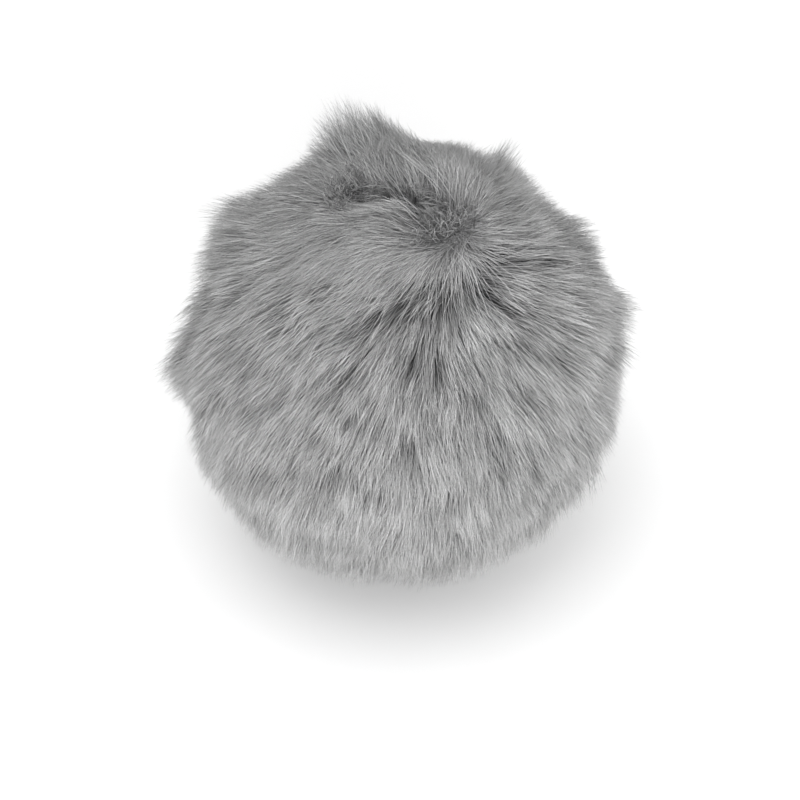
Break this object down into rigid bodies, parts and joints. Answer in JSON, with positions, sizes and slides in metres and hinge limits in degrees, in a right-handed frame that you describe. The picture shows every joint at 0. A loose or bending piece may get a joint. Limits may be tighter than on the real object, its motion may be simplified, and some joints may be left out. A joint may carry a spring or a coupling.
{
  "type": "furry windscreen",
  "caption": "Ball-shaped slip-on furry windscreen for a slim microphone: sewn long-pile cover with an elastic mouth over a bored foam ball.",
  "frame": {"origin": "middle of the flat patch on the closed end, on which the windscreen rests", "axes": "+Z along the microphone bore, out through the elastic mouth; X and Y lie along the gore seams"},
  "size_m": [0.06, 0.06, 0.0566],
  "materials": {
    "fur_pile": "long soft acrylic pile, light grey",
    "knit_backing": "knit",
    "sewing_thread": "twisted polyester thread",
    "mesh_lining": "fine warp-knit mesh",
    "woven_elastic": "ribbed woven elastic",
    "open_cell_foam": "open-cell polyurethane foam"
  },
  "bodies": {
    "fur_cover": {"gore_pile_1": "fur_pile", "gore_backing_1": "knit_backing", "gore_seam_thread_1": "sewing_thread", "gore_pile_2": "fur_pile", "gore_backing_2": "knit_backing", "gore_seam_thread_2": "sewing_thread", "gore_pile_3": "fur_pile", "gore_backing_3": "knit_backing", "gore_seam_thread_3": "sewing_thread", "gore_pile_4": "fur_pile", "gore_backing_4": "knit_backing", "gore_seam_thread_4": "sewing_thread", "lining_panel_1": "mesh_lining", "lining_seam_thread_1": "sewing_thread", "lining_panel_2": "mesh_lining", "lining_seam_thread_2": "sewing_thread", "mouth_casing": "knit_backing", "mouth_hem_thread": "sewing_thread", "elastic_band": "woven_elastic", "elastic_lap_stitches": "sewing_thread"},
    "foam_insert": {"foam_ball": "open_cell_foam"}
  },
  "joints": [
    {"name": "foam_pull", "type": "slide", "parent": "fur_cover", "child": "foam_insert", "axis": [0, 0, 1], "range_m": [0, 0.062], "deforming": ["foam_ball"]}
  ]
}
